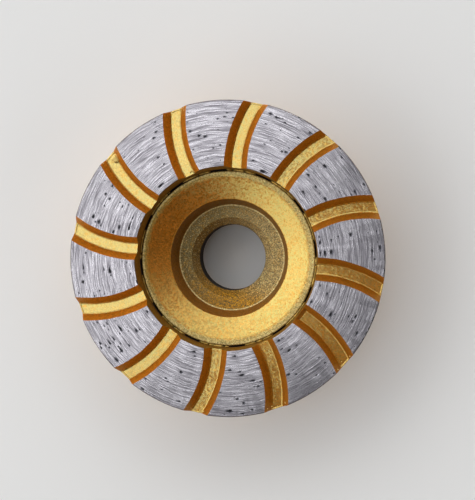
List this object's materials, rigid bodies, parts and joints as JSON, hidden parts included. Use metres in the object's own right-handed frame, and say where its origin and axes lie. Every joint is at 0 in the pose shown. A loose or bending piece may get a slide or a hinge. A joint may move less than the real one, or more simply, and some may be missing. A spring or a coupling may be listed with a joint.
{
  "type": "diamond cup wheel",
  "caption": "Shallow steel cup wheel: a flat diamond ring with curved drafted grooves round a dished centre, with a countersunk through bore in a flat-backed hub.",
  "frame": {"origin": "wheel axis in the plane of the hub's back", "axes": "+Z out of the grinding face along the axis; +X and +Y square to it, with the picture's right and up as +X and +Y"},
  "size_m": [0.1016, 0.1016, 0.028],
  "materials": {
    "body_paint": "gold metallic spray paint with a fine grain",
    "ring_bond": "ground metal bond with circular scratches and dark grit, gold paint on its walls"
  },
  "bodies": {
    "root": {"steel_body": "body_paint", "diamond_ring": "ring_bond"}
  },
  "joints": []
}
